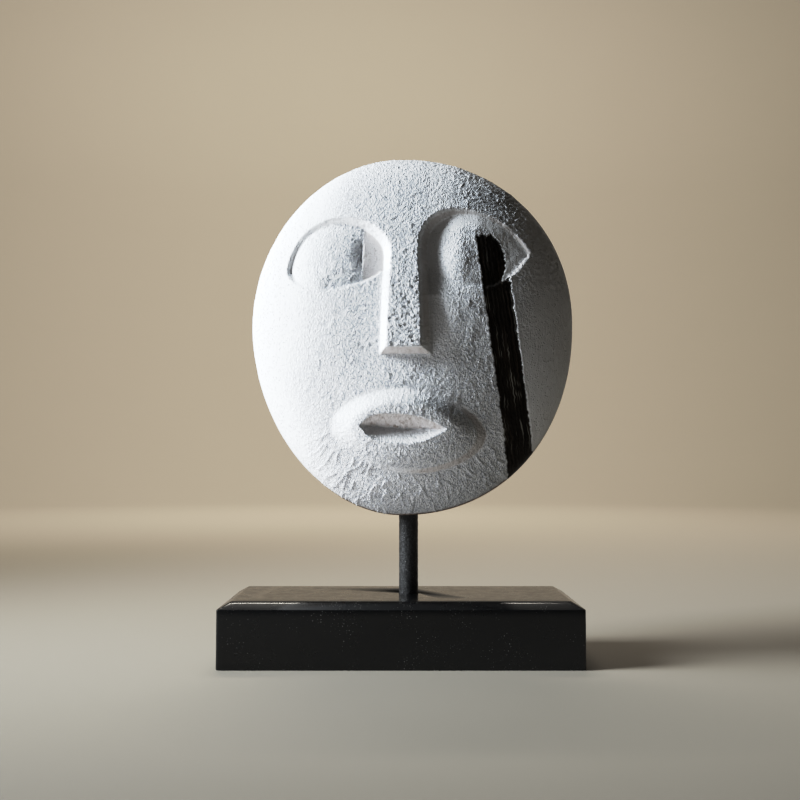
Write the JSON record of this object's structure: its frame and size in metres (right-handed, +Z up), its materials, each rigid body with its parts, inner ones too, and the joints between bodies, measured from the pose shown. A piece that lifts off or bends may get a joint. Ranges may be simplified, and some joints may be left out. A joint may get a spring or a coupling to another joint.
{
  "type": "carved face mask on a stand",
  "caption": "Hollow-backed carved oval face mask in rough white paint with a dark reeded stripe, held by a black iron rod in a chamfered black wooden block.",
  "frame": {"origin": "middle of the block's underside, on the surface that the object stands on", "axes": "+Z up along the rod, the face looks along -Y and its own left is towards +X"},
  "size_m": [0.25, 0.1278, 0.36],
  "materials": {
    "white_paint": "thick chalky white paint over carved wood, with a bare dark stained stripe",
    "black_iron": "rough black painted iron",
    "black_paint": "satin black paint over wood"
  },
  "bodies": {
    "root": {"mask": "white_paint", "rod": "black_iron", "base_block": "black_paint"}
  },
  "joints": []
}
